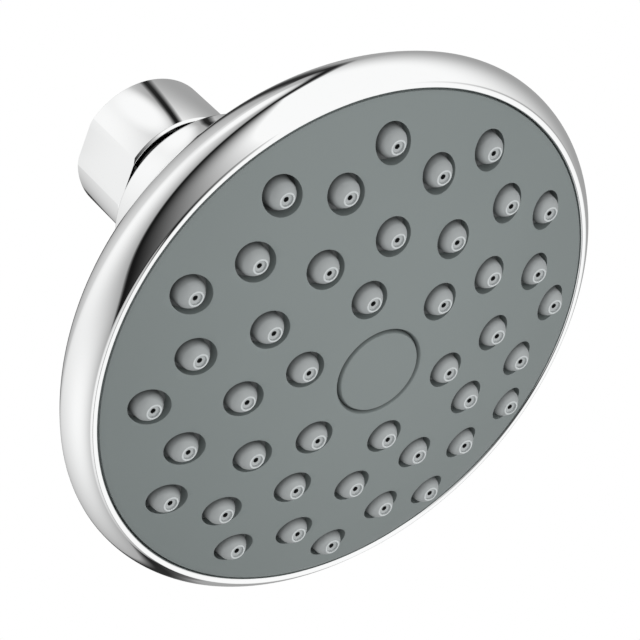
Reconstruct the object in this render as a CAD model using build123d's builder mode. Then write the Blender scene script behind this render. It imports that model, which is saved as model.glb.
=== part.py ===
"""Fixed shower head with a swivel ball, in millimetres.

The origin is the centre of the inlet's mouth. +Z points up, along the shower arm that
screws into it, and the water leaves downwards through a domed plate of soft nozzles.
The connector, its inlet pieces and the ball stay with the arm. The head hangs on the ball,
tilts on it, and turns about its own axis on the seat ring above the ball.
"""
from build123d import *
from math import atan2, cos, degrees, radians, sin, sqrt
import os

# Connector and inlet
nut_radius = 16.9
nut_length = 19.4
nut_across_flats = 31.75
nut_edge = 0.5
thread_radius = 10.45
thread_length = 8.8
relief_depth = 0.55
relief_length = 3.8
web_thickness = 1.3
web_bore = 5.2
washer_thickness = 2.4
washer_bore = 6.2
washer_clearance = 0.2
screen_thickness = 0.4
screen_lip = 1.3
screen_rise = 2.0
restrictor_flange = 1.2
restrictor_body = 4.6
restrictor_cup = 3.7
restrictor_web = 1.0
restrictor_length = 6.2
orifice_radius = 0.9
orifice_circle = 2.5
orifice_count = 4

# Swivel
shank_radius = 7.9
shank_bore = 5.0
shank_collar = 9.2
shank_collar_height = 1.6
ball_neck = 7.2
ball_radius = 12.5
ball_flat = 9.5
ball_depth = 8.5
bore_flare = 1.5
socket_lip = 2.8
socket_mouth = 11.6
socket_bore = 18.0
socket_wall = 2.6
seal_height = 6.5
gland_thread_height = 5.2
gland_floor = 1.6
gland_passage = 6.0
gland_body = 12.4
gland_socket_depth = 7.2

# Shell
nut_gap = 7.5
body_height = 59.1
neck_radius = 22.4
neck_edge = 0.9
head_radius = 63.5
rim_width = 5.1
rim_height = 5.9
rim_turn = 3.6
shoulder_start = 25.0
shoulder_radius = 32.0
shell_wall = 2.8
lip_width = 1.4
lip_proud = 0.1
lip_round = 0.25
lip_step = 0.15
lip_back = 0.3
snap_depth = 0.65
snap_height = 1.6
snap_level = 2.9
shoulder_level = 5.6
shoulder_width = 1.55

# Spray plate, nozzle mat and waterway
face_gap = 0.35
dome_sag = 10.9
plate_thickness = 2.4
plate_rim = 1.9
hole_radius = 4.2
ring_shares = [0.3202, 0.5255, 0.731, 0.8442]
ring_counts = [6, 12, 12, 12]
nozzle_pitch = 15.0
ring_starts = [0.0, nozzle_pitch, 0.0, nozzle_pitch]
nozzle_tip = 2.0
nozzle_edge = 0.25
nozzle_rim = 0.35
nozzle_dish = 0.3
nozzle_belly = 0.15
nozzle_shoulder = 3.3
nozzle_root = 3.7
nozzle_proud = 1.8
jet_radius = 0.55
jet_inlet = 1.7
mat_thickness = 1.5
chamber_depth = 4.6
dish_thickness = 2.4
dish_rim = 3.5
tube_radius = 9.1
tube_bore = 6.0
boss_radius = 3.6
boss_height = 9.0
spoke_count = 3
spoke_thickness = 1.6
spoke_height = 5.0
cap_radius = 9.6
cap_thickness = 1.6
cap_groove = 0.5
hub_radius = 6.0
hub_pad = 11.0
hub_pad_rise = 1.0
hub_rise = 3.6
screw_head = 2.9
screw_head_height = 1.5
screw_radius = 1.5
screw_length = 10.0
screw_seal_thickness = 0.8
head_recess = 2.4

# O-rings and fits
ring_section = 0.75
small_ring_section = 0.6
groove_play = 0.3
fit = 0.1
running_gap = 0.3

# Heights worked out from the sizes above
floor_z = -(thread_length + relief_length)
nut_bottom_z = -nut_length
neck_top_z = nut_bottom_z - nut_gap
ball_z = neck_top_z - ball_depth
face_edge_z = neck_top_z - body_height
apex_z = face_edge_z - dome_sag
face_radius = head_radius - rim_width
ring_radii = [face_radius * share for share in ring_shares]
dome_radius = (face_radius**2 + dome_sag**2) / (2 * dome_sag)
dome_centre_z = apex_z + dome_radius
seat_radius = ball_radius + running_gap
mat_outer = plate_thickness + fit
mat_inner = mat_outer + mat_thickness
dish_inner = mat_inner + chamber_depth
dish_outer = dish_inner + dish_thickness
plate_inner_radius = face_radius - plate_rim
insert_radius = plate_inner_radius - fit

# Profile plane between two nozzles, for the pieces with holes or nozzles round the axis
between = radians(nozzle_pitch / 2)
profile_plane = Plane((0, 0, 0), x_dir=(cos(between), sin(between), 0),
                      z_dir=(sin(between), -cos(between), 0))


def dome_z(offset, radius):
    """Height of the face's dome, moved inwards by offset, at a distance from the axis."""
    return dome_centre_z - sqrt((dome_radius - offset)**2 - radius**2)


def dome_arc(offset, radius_a, radius_b):
    """Three points of the dome's profile between two distances from the axis."""
    stops = (radius_a, (radius_a + radius_b) / 2, radius_b)
    return [(radius, dome_z(offset, radius)) for radius in stops]


def on_circle(centre, radius, angle):
    """Point of a circle in the profile plane, with the angle from the outward direction."""
    turn = radians(angle)
    return (centre[0] + radius * cos(turn), centre[1] + radius * sin(turn))


def circle_arc(centre, radius, start, end):
    """Three points of a circle between two angles."""
    return [on_circle(centre, radius, angle) for angle in (start, (start + end) / 2, end)]


def ball_seat(height):
    """Radius of the seat's sphere at a height above the ball's centre."""
    return sqrt(seat_radius**2 - height**2)


def seat_arc(height_a, height_b):
    """Three points of the seat's sphere between two heights above the ball's centre."""
    stops = (height_a, (height_a + height_b) / 2, height_b)
    return [(ball_seat(height), ball_z + height) for height in stops]


def nozzle_places(rise):
    """Places of all nozzles, turned to the axis, at a height above the dome on each one's axis."""
    places = []
    for radius, count, start in zip(ring_radii, ring_counts, ring_starts):
        for index in range(count):
            angle = start + 360 * index / count
            point = on_circle((0, 0), radius, angle)
            places.append(Location((*point, dome_z(0, radius) + rise), (0, 0, angle)))
    return places


# Connector nut: round, with two wrench flats, a threaded inlet and a socket for the ball's stem
relief_radius = thread_radius + relief_depth
stem_top_z = floor_z - web_thickness - fit
with BuildPart() as connector_nut:
    with BuildSketch(Plane.XZ):
        with BuildLine():
            Polyline(
                (thread_radius, 0),
                (nut_radius - nut_edge, 0),
                (nut_radius, -nut_edge),
                (nut_radius, nut_bottom_z + nut_edge),
                (nut_radius - nut_edge, nut_bottom_z),
                (shank_radius + fit, nut_bottom_z),
                (shank_radius + fit, floor_z - web_thickness),
                (web_bore, floor_z - web_thickness),
                (web_bore, floor_z),
                (relief_radius, floor_z),
                (relief_radius, -thread_length),
                (thread_radius, -thread_length),
                close=True,
            )
        make_face()
    revolve(axis=Axis.Z)
    with BuildSketch(Plane.XY):
        with GridLocations(nut_across_flats + nut_radius, 0, 2, 1):
            Rectangle(nut_radius, 2 * nut_radius)
    extrude(amount=-nut_length, mode=Mode.SUBTRACT)
connector_nut.part.label = "connector_nut"

# Inlet washer, with a seat for the screen's flange underneath
flange_top_z = floor_z + restrictor_flange
washer_radius = relief_radius - washer_clearance
screen_radius = washer_bore + screen_lip
with BuildPart() as inlet_washer:
    with BuildSketch(Plane.XZ):
        with BuildLine():
            Polyline(
                (screen_radius + fit, flange_top_z),
                (washer_radius, flange_top_z),
                (washer_radius, flange_top_z + washer_thickness),
                (washer_bore, flange_top_z + washer_thickness),
                (washer_bore, flange_top_z + screen_thickness),
                (screen_radius + fit, flange_top_z + screen_thickness),
                close=True,
            )
        make_face()
    revolve(axis=Axis.Z)
inlet_washer.part.label = "inlet_washer"

# Inlet screen: a domed strainer with a flat flange
screen_foot = washer_bore - screen_thickness - fit
screen_inner = (screen_foot**2 + screen_rise**2) / (2 * screen_rise)
screen_outer = screen_inner + screen_thickness
screen_centre = (0, flange_top_z + screen_rise - screen_inner)
foot_angle = degrees(atan2(screen_inner - screen_rise, screen_foot))
brim_height = screen_inner - screen_rise + screen_thickness
brim_angle = degrees(atan2(brim_height, sqrt(screen_outer**2 - brim_height**2)))
with BuildPart() as inlet_screen:
    with BuildSketch(Plane.XZ):
        with BuildLine():
            ThreePointArc(*circle_arc(screen_centre, screen_inner, 90, foot_angle))
            Polyline(
                (screen_foot, flange_top_z),
                (screen_radius, flange_top_z),
                (screen_radius, flange_top_z + screen_thickness),
                on_circle(screen_centre, screen_outer, brim_angle),
            )
            ThreePointArc(*circle_arc(screen_centre, screen_outer, brim_angle, 90))
            Line((0, flange_top_z + screen_rise + screen_thickness), (0, flange_top_z + screen_rise))
        make_face()
    revolve(axis=Axis.Z)
inlet_screen.part.label = "inlet_screen"

# Flow restrictor: a flanged cup with a ring of orifices through its floor
restrictor_end_z = floor_z - restrictor_length
restrictor_groove_z = restrictor_end_z + 2 * small_ring_section
groove_half = small_ring_section + groove_play / 2
groove_floor = shank_bore - 2 * small_ring_section - fit
cup_floor_z = restrictor_groove_z + groove_half + restrictor_web
with BuildPart() as flow_restrictor:
    with BuildSketch(Plane.XZ):
        with BuildLine():
            Polyline(
                (0, restrictor_end_z),
                (restrictor_body, restrictor_end_z),
                (restrictor_body, restrictor_groove_z - groove_half),
                (groove_floor, restrictor_groove_z - groove_half),
                (groove_floor, restrictor_groove_z + groove_half),
                (restrictor_body, restrictor_groove_z + groove_half),
                (restrictor_body, floor_z),
                (washer_radius, floor_z),
                (washer_radius, flange_top_z),
                (restrictor_cup, flange_top_z),
                (restrictor_cup, cup_floor_z),
                (0, cup_floor_z),
                close=True,
            )
        make_face()
    revolve(axis=Axis.Z)
    with BuildSketch(Plane.XY.offset(restrictor_end_z)):
        with PolarLocations(orifice_circle, orifice_count):
            Circle(orifice_radius)
    extrude(amount=restrictor_length, mode=Mode.SUBTRACT)
flow_restrictor.part.label = "flow_restrictor"

with BuildPart() as restrictor_o_ring:
    with Locations((0, 0, restrictor_groove_z)):
        Torus(groove_floor + small_ring_section, small_ring_section)
restrictor_o_ring.part.label = "restrictor_o_ring"

# Swivel ball: hollow ball and stem, with a collar that stops against the connector
stem_groove_z = (stem_top_z + nut_bottom_z) / 2
stem_groove_half = ring_section + groove_play / 2
stem_groove_floor = shank_radius - 2 * ring_section
collar_z = nut_bottom_z - shank_collar_height
neck_angle = degrees(atan2(sqrt(ball_radius**2 - ball_neck**2), ball_neck))
flat_radius = sqrt(ball_radius**2 - ball_flat**2)
flat_angle = -degrees(atan2(ball_flat, flat_radius))
with BuildPart() as swivel_ball:
    with BuildSketch(Plane.XZ):
        with BuildLine():
            Polyline(
                (shank_bore, stem_top_z),
                (shank_radius, stem_top_z),
                (shank_radius, stem_groove_z + stem_groove_half),
                (stem_groove_floor, stem_groove_z + stem_groove_half),
                (stem_groove_floor, stem_groove_z - stem_groove_half),
                (shank_radius, stem_groove_z - stem_groove_half),
                (shank_radius, nut_bottom_z),
                (shank_collar, nut_bottom_z),
                (shank_collar, collar_z),
                (ball_neck, collar_z),
                on_circle((0, ball_z), ball_radius, neck_angle),
            )
            ThreePointArc(*circle_arc((0, ball_z), ball_radius, neck_angle, flat_angle))
            Polyline(
                on_circle((0, ball_z), ball_radius, flat_angle),
                (shank_bore + bore_flare, ball_z - ball_flat),
                (shank_bore, ball_z - ball_flat + bore_flare),
                (shank_bore, stem_top_z),
            )
        make_face()
    revolve(axis=Axis.Z)
swivel_ball.part.label = "swivel_ball"

with BuildPart() as shank_o_ring:
    with Locations((0, 0, stem_groove_z)):
        Torus(stem_groove_floor + ring_section, ring_section)
shank_o_ring.part.label = "shank_o_ring"

# Swivel ring: seat above the ball, free to turn in the neck under the inner lip
lip_under_z = neck_top_z - socket_lip
ring_top = lip_under_z - running_gap - ball_z
ring_radius = socket_bore - running_gap
with BuildPart() as swivel_ring:
    with BuildSketch(Plane.XZ):
        with BuildLine():
            ThreePointArc(*seat_arc(0, ring_top))
            Polyline(
                (ball_seat(ring_top), ball_z + ring_top),
                (ring_radius, ball_z + ring_top),
                (ring_radius, ball_z),
                (ball_seat(0), ball_z),
            )
        make_face()
    revolve(axis=Axis.Z)
swivel_ring.part.label = "swivel_ring"

# Ball seal: rubber seat under the ball, clear of the ring above it
seal_top = -running_gap
seal_bottom = seal_top - seal_height
gland_radius = socket_bore - fit
with BuildPart() as ball_seal:
    with BuildSketch(Plane.XZ):
        with BuildLine():
            ThreePointArc(*seat_arc(seal_top, seal_bottom))
            Polyline(
                (ball_seat(seal_bottom), ball_z + seal_bottom),
                (gland_radius, ball_z + seal_bottom),
                (gland_radius, ball_z + seal_top),
                (ball_seat(seal_top), ball_z + seal_top),
            )
        make_face()
    revolve(axis=Axis.Z)
ball_seal.part.label = "ball_seal"

# Socket gland: screwed up into the neck, with a socket below for the waterway's tube
gland_top_z = ball_z + seal_bottom
gland_step_z = gland_top_z - gland_thread_height
gland_well_z = ball_z - seat_radius
gland_floor_z = gland_well_z - gland_floor
gland_end_z = gland_floor_z - gland_socket_depth
with BuildPart() as socket_gland:
    with BuildSketch(Plane.XZ):
        with BuildLine():
            Polyline(
                (ball_seat(seal_bottom), gland_top_z),
                (gland_radius, gland_top_z),
                (gland_radius, gland_step_z),
                (gland_body, gland_step_z),
                (gland_body, gland_end_z),
                (tube_radius + fit, gland_end_z),
                (tube_radius + fit, gland_floor_z),
                (gland_passage, gland_floor_z),
                (gland_passage, gland_well_z),
                (ball_seat(seal_bottom), gland_well_z),
                close=True,
            )
        make_face()
    revolve(axis=Axis.Z)
socket_gland.part.label = "socket_gland"

# Shell: one revolved bell with a flat lip, a rounded rim, a flared back and a thick neck
lip_radius = face_radius + face_gap
crease = (lip_radius + lip_width, face_edge_z + lip_back)
rim_z = face_edge_z + rim_height
front_reach = head_radius - crease[0]
front_radius = (front_reach**2 + (rim_z - crease[1])**2) / (2 * front_reach)
front_centre = (head_radius - front_radius, rim_z)
crease_angle = degrees(atan2(crease[1] - front_centre[1], crease[0] - front_centre[0]))
turn_centre = (head_radius - rim_turn, rim_z)
shoulder_centre = on_circle(turn_centre, rim_turn - shoulder_radius, shoulder_start)
flare_top_z = neck_top_z - neck_edge
flare_out = neck_radius - shoulder_centre[0]
flare_up = flare_top_z - shoulder_centre[1]
flare_radius = (flare_out**2 + flare_up**2 - shoulder_radius**2) / (2 * (shoulder_radius - flare_out))
flare_centre = (neck_radius + flare_radius, flare_top_z)
flare_angle = degrees(atan2(flare_up, flare_centre[0] - shoulder_centre[0]))
inner_shoulder = shoulder_radius - shell_wall
inner_flare = flare_radius + shell_wall
snap_radius = lip_radius + snap_depth
insert_stop = lip_radius - shoulder_width
insert_angle = degrees(atan2(sqrt(inner_shoulder**2 - (insert_stop - shoulder_centre[0])**2),
                             insert_stop - shoulder_centre[0]))
socket_outer = socket_bore + socket_wall
pocket_angle = degrees(atan2(sqrt(inner_flare**2 - (flare_centre[0] - socket_outer)**2),
                             flare_centre[0] - socket_outer))
socket_end_z = gland_step_z
with BuildPart() as shell:
    with BuildSketch(Plane.XZ):
        with BuildLine():
            Polyline(
                (lip_radius, face_edge_z - lip_proud + lip_round),
                (lip_radius + lip_round, face_edge_z - lip_proud),
                (crease[0] - lip_step, face_edge_z - lip_proud),
                crease,
            )
            ThreePointArc(*circle_arc(front_centre, front_radius, crease_angle, 0))
            ThreePointArc(*circle_arc(turn_centre, rim_turn, 0, shoulder_start))
            ThreePointArc(*circle_arc(shoulder_centre, shoulder_radius, shoulder_start, flare_angle))
            ThreePointArc(*circle_arc(flare_centre, flare_radius, 180 + flare_angle, 180))
            ThreePointArc(*circle_arc((neck_radius - neck_edge, flare_top_z), neck_edge, 0, 90))
            Polyline(
                (neck_radius - neck_edge, neck_top_z),
                (socket_mouth, neck_top_z),
                (socket_mouth, lip_under_z),
                (socket_bore, lip_under_z),
                (socket_bore, socket_end_z),
                (socket_outer, socket_end_z),
                on_circle(flare_centre, inner_flare, 180 + pocket_angle),
            )
            ThreePointArc(*circle_arc(flare_centre, inner_flare, 180 + pocket_angle, 180 + flare_angle))
            ThreePointArc(*circle_arc(shoulder_centre, inner_shoulder, flare_angle, insert_angle))
            Polyline(
                on_circle(shoulder_centre, inner_shoulder, insert_angle),
                (insert_stop, face_edge_z + shoulder_level),
                (lip_radius, face_edge_z + shoulder_level),
                (lip_radius, face_edge_z + snap_level + snap_height),
                (snap_radius, face_edge_z + snap_level + snap_height),
                (snap_radius, face_edge_z + snap_level),
                (lip_radius, face_edge_z + snap_level),
                (lip_radius, face_edge_z - lip_proud + lip_round),
            )
        make_face()
    revolve(axis=Axis.Z)
shell.part.label = "shell"

# Spray plate: domed, with a snap bead on its rim, a screw hub and a hole for each nozzle
bead_radius = face_radius + snap_depth
bead_low_z = face_edge_z + snap_level + fit
bead_high_z = face_edge_z + snap_level + snap_height - fit
plate_top_z = face_edge_z + shoulder_level - fit
recess_radius = cap_radius + fit
recess_z = apex_z + cap_thickness + fit
hub_z = apex_z + plate_thickness + hub_rise
head_seat_z = recess_z + head_recess
with BuildPart() as face_plate:
    with BuildSketch(profile_plane):
        with BuildLine():
            ThreePointArc(*dome_arc(0, recess_radius + cap_groove, face_radius))
            Polyline(
                (face_radius, face_edge_z),
                (face_radius, bead_low_z),
                (bead_radius, bead_low_z),
                (bead_radius, bead_high_z),
                (face_radius, bead_high_z),
                (face_radius, plate_top_z),
                (plate_inner_radius, plate_top_z),
                (plate_inner_radius, dome_z(plate_thickness, plate_inner_radius)),
            )
            ThreePointArc(*dome_arc(plate_thickness, plate_inner_radius, hub_pad))
            Polyline(
                (hub_pad, dome_z(plate_thickness, hub_pad)),
                (hub_pad, apex_z + plate_thickness + hub_pad_rise),
                (hub_radius, apex_z + plate_thickness + hub_pad_rise),
                (hub_radius, hub_z),
                (screw_radius + fit, hub_z),
                (screw_radius + fit, head_seat_z),
                (screw_head + fit, head_seat_z),
                (screw_head + fit, recess_z),
                (recess_radius, recess_z),
                (recess_radius, dome_z(0, recess_radius) + cap_groove),
                (recess_radius + cap_groove, dome_z(0, recess_radius + cap_groove)),
            )
        make_face()
    revolve(axis=Axis.Z)
    with Locations(*nozzle_places(plate_thickness)):
        Cylinder(hole_radius, 4 * plate_thickness, mode=Mode.SUBTRACT)
face_plate.part.label = "face_plate"

# Centre cap: flush disc over the screw, with a bevel that forms the fine groove
with BuildPart() as centre_cap:
    with BuildSketch(Plane.XZ):
        with BuildLine():
            ThreePointArc(*dome_arc(0, 0, cap_radius - cap_groove))
            Polyline(
                (cap_radius - cap_groove, dome_z(0, cap_radius - cap_groove)),
                (cap_radius, dome_z(0, cap_radius) + cap_groove),
                (cap_radius, apex_z + cap_thickness),
                (0, apex_z + cap_thickness),
                (0, apex_z),
            )
        make_face()
    revolve(axis=Axis.Z)
centre_cap.part.label = "centre_cap"

# Nozzle mat: one soft sheet behind the plate, with every nozzle and its jet hole
mat_hole = hub_pad + fit
nozzle_stem = mat_inner + nozzle_root
sheet_hole = (jet_inlet + nozzle_shoulder) / 2
dish_radius = nozzle_tip - nozzle_edge - nozzle_rim
dish_level = nozzle_dish - nozzle_proud
tip_side = (nozzle_tip, nozzle_edge - nozzle_proud)
belly = ((nozzle_tip + nozzle_shoulder) / 2 + nozzle_belly, tip_side[1] / 2 - nozzle_belly)
with BuildPart() as nozzle:
    with BuildSketch(Plane.XZ):
        with BuildLine():
            Polyline(
                (jet_radius, dish_level),
                (dish_radius, dish_level),
                (dish_radius, -nozzle_proud),
                (nozzle_tip - nozzle_edge, -nozzle_proud),
                tip_side,
            )
            ThreePointArc(tip_side, belly, (nozzle_shoulder, 0))
            Polyline(
                (nozzle_shoulder, 0),
                (nozzle_root, nozzle_stem),
                (jet_inlet, nozzle_stem),
                (jet_radius, dish_level),
            )
        make_face()
    revolve(axis=Axis.Z)
with BuildPart() as nozzle_mat:
    with BuildSketch(profile_plane):
        with BuildLine():
            ThreePointArc(*dome_arc(mat_outer, mat_hole, insert_radius))
            Line((insert_radius, dome_z(mat_outer, insert_radius)),
                 (insert_radius, dome_z(mat_inner, insert_radius)))
            ThreePointArc(*dome_arc(mat_inner, insert_radius, mat_hole))
            Line((mat_hole, dome_z(mat_inner, mat_hole)), (mat_hole, dome_z(mat_outer, mat_hole)))
        make_face()
    revolve(axis=Axis.Z)
    with Locations(*nozzle_places(mat_inner)):
        Cylinder(sheet_hole, 4 * mat_inner, mode=Mode.SUBTRACT)
    with Locations(*nozzle_places(0)):
        add(nozzle.part)
    with BuildSketch(profile_plane):
        with BuildLine():
            ThreePointArc(*dome_arc(mat_inner, mat_hole, insert_radius))
            Polyline(
                (insert_radius, dome_z(mat_inner, insert_radius)),
                (insert_radius, face_edge_z + nozzle_stem),
                (mat_hole, face_edge_z + nozzle_stem),
                (mat_hole, dome_z(mat_inner, mat_hole)),
            )
        make_face()
    revolve(axis=Axis.Z, mode=Mode.SUBTRACT)
nozzle_mat.part.label = "nozzle_mat"

# Waterway: dish over the mat, tube up to the gland, and a screw boss carried on spokes
dish_seat = mat_inner + fit
dish_wall = insert_radius - dish_rim
tube_top_z = gland_floor_z - fit
tube_groove_z = (tube_top_z + gland_end_z) / 2
tube_groove_half = ring_section + groove_play / 2
tube_groove_floor = tube_radius - 2 * ring_section
boss_z = hub_z + fit
spoke_length = (tube_bore + tube_radius) / 2
with BuildPart() as waterway:
    with BuildSketch(profile_plane):
        with BuildLine():
            ThreePointArc(*dome_arc(dish_inner, tube_bore, dish_wall))
            Line((dish_wall, dome_z(dish_inner, dish_wall)), (dish_wall, dome_z(dish_seat, dish_wall)))
            ThreePointArc(*dome_arc(dish_seat, dish_wall, insert_radius))
            Line((insert_radius, dome_z(dish_seat, insert_radius)),
                 (insert_radius, dome_z(dish_outer, insert_radius)))
            ThreePointArc(*dome_arc(dish_outer, insert_radius, tube_radius))
            Polyline(
                (tube_radius, dome_z(dish_outer, tube_radius)),
                (tube_radius, tube_groove_z - tube_groove_half),
                (tube_groove_floor, tube_groove_z - tube_groove_half),
                (tube_groove_floor, tube_groove_z + tube_groove_half),
                (tube_radius, tube_groove_z + tube_groove_half),
                (tube_radius, tube_top_z),
                (tube_bore, tube_top_z),
                (tube_bore, dome_z(dish_inner, tube_bore)),
            )
        make_face()
    revolve(axis=Axis.Z)
    with BuildSketch(Plane.XY.offset(boss_z)):
        Circle(boss_radius)
    extrude(amount=boss_height)
    with BuildSketch(Plane.XY.offset(boss_z + boss_height - spoke_height)):
        with PolarLocations(spoke_length / 2, spoke_count, start_angle=180 / spoke_count):
            Rectangle(spoke_length, spoke_thickness)
    extrude(amount=spoke_height)
    with BuildSketch(Plane.XY.offset(boss_z)):
        Circle(screw_radius + fit)
    extrude(amount=boss_height, mode=Mode.SUBTRACT)
waterway.part.label = "waterway"

with BuildPart() as spigot_o_ring:
    with Locations((0, 0, tube_groove_z)):
        Torus(tube_groove_floor + ring_section, ring_section)
spigot_o_ring.part.label = "spigot_o_ring"

# Centre screw and the seal under its head
head_low_z = head_seat_z - screw_seal_thickness
with BuildPart() as centre_screw:
    with BuildSketch(Plane.XY.offset(head_low_z)):
        Circle(screw_head)
    extrude(amount=-screw_head_height)
    with BuildSketch(Plane.XY.offset(head_low_z)):
        Circle(screw_radius)
    extrude(amount=screw_length)
centre_screw.part.label = "centre_screw"

with BuildPart() as screw_seal:
    with BuildSketch(Plane.XY.offset(head_low_z)):
        Circle(screw_head)
        Circle(screw_radius + fit, mode=Mode.SUBTRACT)
    extrude(amount=screw_seal_thickness)
screw_seal.part.label = "screw_seal"

# Write one file per piece
os.makedirs("parts", exist_ok=True)
pieces = [
    connector_nut, inlet_washer, inlet_screen, flow_restrictor, restrictor_o_ring,
    swivel_ball, shank_o_ring, swivel_ring, ball_seal, socket_gland, shell, face_plate,
    centre_cap, nozzle_mat, waterway, spigot_o_ring, centre_screw, screw_seal,
]
for piece in pieces:
    export_step(piece.part, f"parts/{piece.part.label}.step")
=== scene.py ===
"""Chrome shower head with a domed plate of soft nozzles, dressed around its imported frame.

Every size is in metres, in the part's own frame: the origin is the centre of the inlet's mouth,
+Z points up along the shower arm, and the water leaves downwards.
"""

from math import atan2, cos, degrees, pi, radians, sin, sqrt

import bmesh
import bpy
from bpy.props import FloatProperty, FloatVectorProperty, IntProperty, PointerProperty
from bpy.types import Operator, Panel, PropertyGroup
from mathutils import Matrix, Vector


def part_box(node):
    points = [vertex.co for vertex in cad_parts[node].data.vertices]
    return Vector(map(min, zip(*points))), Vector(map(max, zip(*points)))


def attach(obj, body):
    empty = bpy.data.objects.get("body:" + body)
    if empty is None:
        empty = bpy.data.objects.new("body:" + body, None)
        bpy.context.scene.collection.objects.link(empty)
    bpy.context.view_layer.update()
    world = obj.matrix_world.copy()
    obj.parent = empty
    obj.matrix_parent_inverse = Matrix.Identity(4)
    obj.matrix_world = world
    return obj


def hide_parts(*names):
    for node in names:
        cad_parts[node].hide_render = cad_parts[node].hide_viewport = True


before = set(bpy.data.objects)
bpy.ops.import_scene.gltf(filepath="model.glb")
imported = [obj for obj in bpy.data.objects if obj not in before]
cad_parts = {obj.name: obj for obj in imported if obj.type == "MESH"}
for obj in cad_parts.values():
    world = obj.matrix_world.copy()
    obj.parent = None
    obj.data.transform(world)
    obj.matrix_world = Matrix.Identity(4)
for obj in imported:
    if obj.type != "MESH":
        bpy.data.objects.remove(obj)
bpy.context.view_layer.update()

bl_info = {
    "name": "Shower head",
    "version": (1, 0, 0),
    "blender": (4, 5, 0),
    "location": "3D View > Sidebar > Shower head",
    "description": "Dresses the packed frame of a swivelling shower head",
    "category": "Object",
}

MM = 0.001
WELD = 0.001 * MM
SMOOTH_LIMIT = radians(24)

# Fits and small sizes, most of them as in the solids
FIT = 0.1 * MM
NUT_EDGE = 0.5 * MM
RELIEF_DEPTH = 0.55 * MM
RELIEF_LENGTH = 3.8 * MM
WEB_THICKNESS = 1.3 * MM
WEB_BORE = 5.2 * MM
SHANK_RADIUS = 7.9 * MM
SHANK_BORE = 5.0 * MM
SHANK_COLLAR = 9.2 * MM
COLLAR_HEIGHT = 1.6 * MM
RING_SECTION = 0.75 * MM
GROOVE_PLAY = 0.3 * MM
BALL_NECK = 7.2 * MM
BALL_FLAT = 9.5 * MM
BALL_DEPTH = 8.5 * MM
BORE_FLARE = 1.5 * MM
SOCKET_LIP = 2.8 * MM
SOCKET_MOUTH = 11.6 * MM
SOCKET_BORE = 18.0 * MM
SOCKET_WALL = 2.6 * MM
SOCKET_END = 12.0 * MM
NECK_EDGE = 0.9 * MM
RIM_HEIGHT = 5.9 * MM
RIM_TURN = 3.6 * MM
SHOULDER_START = 25.0
LIP_WIDTH = 1.4 * MM
LIP_PROUD = 0.1 * MM
LIP_ROUND = 0.25 * MM
LIP_STEP = 0.15 * MM
LIP_BACK = 0.3 * MM
SNAP_DEPTH = 0.65 * MM
SNAP_HEIGHT = 1.6 * MM
SNAP_LEVEL = 2.9 * MM
STOP_LEVEL = 5.6 * MM
STOP_WIDTH = 1.55 * MM
FACE_GAP = 0.35 * MM
PLATE_THICKNESS = 2.4 * MM
PLATE_RIM = 1.9 * MM
MAT_THICKNESS = 1.5 * MM
HUB_RADIUS = 6.0 * MM
HUB_PAD = 11.0 * MM
HUB_PAD_RISE = 1.0 * MM
HUB_RISE = 3.6 * MM
CAP_THICKNESS = 1.6 * MM
CAP_GROOVE = 0.45 * MM
GROOVE_DEPTH = 1.0 * MM
SCREW_RADIUS = 1.5 * MM
SCREW_HEAD = 2.9 * MM
HEAD_RECESS = 2.4 * MM
NOZZLE_EDGE = 0.25 * MM
NOZZLE_RIM = 0.35 * MM
NOZZLE_DISH = 0.45 * MM
NOZZLE_BOW = 0.12 * MM
NOZZLE_FLARE = 0.45 * MM
NOZZLE_INSET = 0.3 * MM
DISH_DRAFT = 0.08 * MM
JET_EDGE = 0.05 * MM
JET_LENGTH = 2.0 * MM
JET_MOUTH = 1.6 * MM
BORE_MARGIN = 0.02 * MM
TIP_MARGIN = 0.1 * MM
SHEET_HOLE = 2.6 * MM
THREAD_DEPTH = 1.0 * MM
THREAD_SEAT = 0.05 * MM
THREAD_STEPS = 48
THREAD_FLANKS = (0.42, 0.54, 0.96)
SCREEN_DOME = 5.9 * MM
SCREEN_SHEET = 0.4 * MM
SCREEN_WIRE = 0.16 * MM
SCREEN_LAP = 0.4 * MM
RIM_MARGIN = 0.1 * MM
RING_SHARES = (0.3202, 0.5255, 0.731, 0.8442)
RING_COUNTS = (6, 12, 12, 12)
RING_STARTS = (0.0, 15.0, 0.0, 15.0)


def length(name, description, millimetres):
    """Length property with its default given in millimetres."""
    return FloatProperty(name=name, description=description, default=millimetres * MM,
                         precision=5, unit="LENGTH")


def turn_angle(name, description, angle):
    """Angle property with its default given in degrees."""
    return FloatProperty(name=name, description=description, default=radians(angle),
                         subtype="ANGLE")


def colour(name, description, red, green, blue):
    """Colour property in linear light."""
    return FloatVectorProperty(name=name, description=description, default=(red, green, blue),
                               size=3, min=0.0, max=1.0, subtype="COLOR")


class ConnectorSizes(PropertyGroup):
    """Sizes of the threaded connector and the ball under it."""
    radius: length("Radius", "Outside radius of the connector", 16.9)
    height: length("Height", "Height of the connector", 19.4)
    across_flats: length("Across flats", "Distance between the two wrench flats", 31.75)
    thread_radius: length("Thread radius", "Outer radius of the inlet's thread", 10.45)
    thread_length: length("Thread length", "Depth of the threaded part of the inlet", 8.8)
    thread_pitch: length("Thread pitch", "Distance from one ridge to the next", 1.814)
    ball_radius: length("Ball radius", "Radius of the swivel ball", 12.5)
    gap: length("Gap", "Gap between the connector and the neck", 7.5)


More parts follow.
